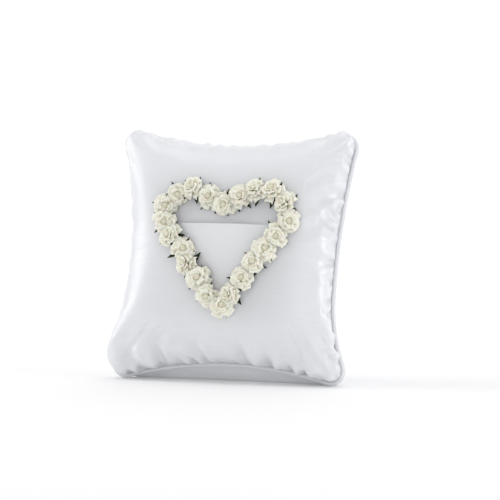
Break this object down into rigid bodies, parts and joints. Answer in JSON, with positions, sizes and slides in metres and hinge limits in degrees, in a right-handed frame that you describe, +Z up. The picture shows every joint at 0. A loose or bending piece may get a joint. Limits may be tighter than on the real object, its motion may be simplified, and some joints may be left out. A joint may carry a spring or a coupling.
{
  "type": "ring bearer pillow",
  "caption": "Small square satin cushion with piped edges, an open ring pocket on its front and a heart of cream paper roses around it, standing on its lower edge.",
  "frame": {"origin": "middle of the object's footprint box on the table it stands on", "axes": "+Z up from the table, +X to the right as the roses are faced, -Y out of the decorated front; the cushion stands on its lower edge and leans back 10 degrees"},
  "size_m": [0.16, 0.074, 0.1576],
  "materials": {
    "cover_satin": "soft satin sheen, fine horizontal slubs",
    "pocket_satin": "soft satin sheen, doubled, pressed fold",
    "piping_satin": "satin, bias grain",
    "cotton_cord": "matt twisted cotton",
    "polyester_fill": "matt fibre",
    "sewing_thread": "fine thread",
    "rose_paper": "matt cream mulberry paper",
    "leaf_paper": "matt dark green paper",
    "florist_wire": "thin paper-wrapped wire",
    "clear_glue": "glossy, slightly milky"
  },
  "bodies": {
    "root": {"front_cover": "cover_satin", "back_cover": "cover_satin", "pocket_panel": "pocket_satin", "piping_cover": "piping_satin", "piping_cord": "cotton_cord", "fibre_fill": "polyester_fill", "closing_stitches": "sewing_thread", "glue_dots": "clear_glue", "rose_wires": "florist_wire", "rose_01": "rose_paper", "rose_02": "rose_paper", "rose_03": "rose_paper", "rose_04": "rose_paper", "rose_05": "rose_paper", "rose_06": "rose_paper", "rose_07": "rose_paper", "rose_08": "rose_paper", "rose_09": "rose_paper", "rose_10": "rose_paper", "rose_11": "rose_paper", "rose_12": "rose_paper", "rose_13": "rose_paper", "rose_14": "rose_paper", "rose_15": "rose_paper", "rose_16": "rose_paper", "rose_17": "rose_paper", "rose_18": "rose_paper", "rose_19": "rose_paper", "rose_20": "rose_paper", "rose_21": "rose_paper", "rose_22": "rose_paper", "calyx_01": "leaf_paper", "calyx_02": "leaf_paper", "calyx_03": "leaf_paper", "calyx_04": "leaf_paper", "calyx_05": "leaf_paper", "calyx_06": "leaf_paper", "calyx_07": "leaf_paper", "calyx_08": "leaf_paper", "calyx_09": "leaf_paper", "calyx_10": "leaf_paper", "calyx_11": "leaf_paper", "calyx_12": "leaf_paper", "calyx_13": "leaf_paper", "calyx_14": "leaf_paper", "calyx_15": "leaf_paper", "calyx_16": "leaf_paper", "calyx_17": "leaf_paper", "calyx_18": "leaf_paper", "calyx_19": "leaf_paper", "calyx_20": "leaf_paper", "calyx_21": "leaf_paper", "calyx_22": "leaf_paper"}
  },
  "joints": []
}
